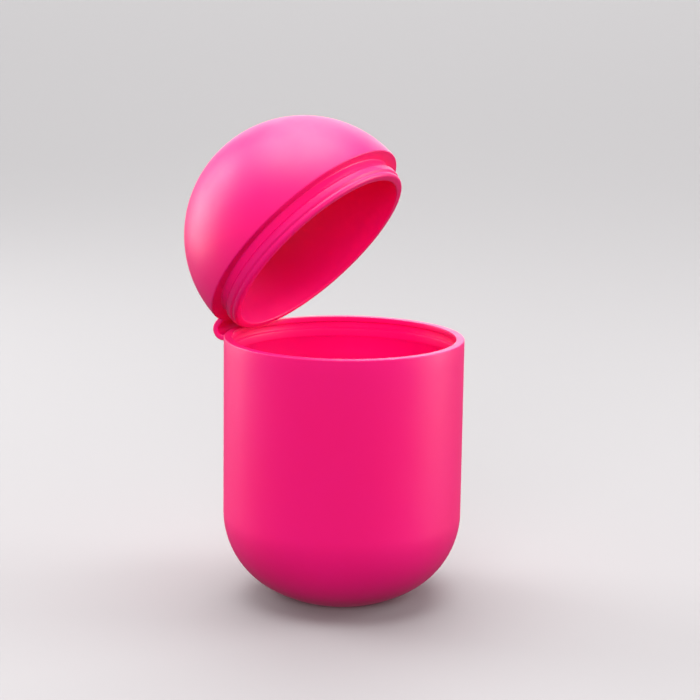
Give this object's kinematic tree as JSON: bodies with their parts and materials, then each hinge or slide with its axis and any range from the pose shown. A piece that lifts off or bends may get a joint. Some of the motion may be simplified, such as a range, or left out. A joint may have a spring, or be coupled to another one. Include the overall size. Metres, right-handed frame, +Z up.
{
  "type": "flip-top silicone storage case",
  "caption": "Upright round-bottomed silicone case with a domed flip-top lid on a looped strap hinge and a plug ring that seats in the mouth.",
  "frame": {"origin": "centre of the flat foot, on the axis of the case", "axes": "+Z up the case from the foot to the mouth; the hinge is on the -X side and its axis runs along Y; the lid is stored part open, as it stands in use"},
  "size_m": [0.072, 0.06, 0.1203],
  "materials": {
    "silicone": "matte"
  },
  "bodies": {
    "case": {"case_body": "silicone", "case_hinge_root": "silicone", "hinge_strap": "silicone"},
    "lid": {"lid_dome": "silicone", "lid_plug_ring": "silicone", "lid_hinge_root": "silicone"}
  },
  "joints": [
    {"name": "lid_hinge", "type": "hinge", "parent": "case", "child": "lid", "pos_m": [-0.0315, 0, 0.06555], "axis": [0, -1, 0], "range_deg": [-49.5, 100], "stiffness_Nm_per_rad": 0.02, "springref_deg": 5.73, "deforming": ["hinge_strap"]}
  ]
}
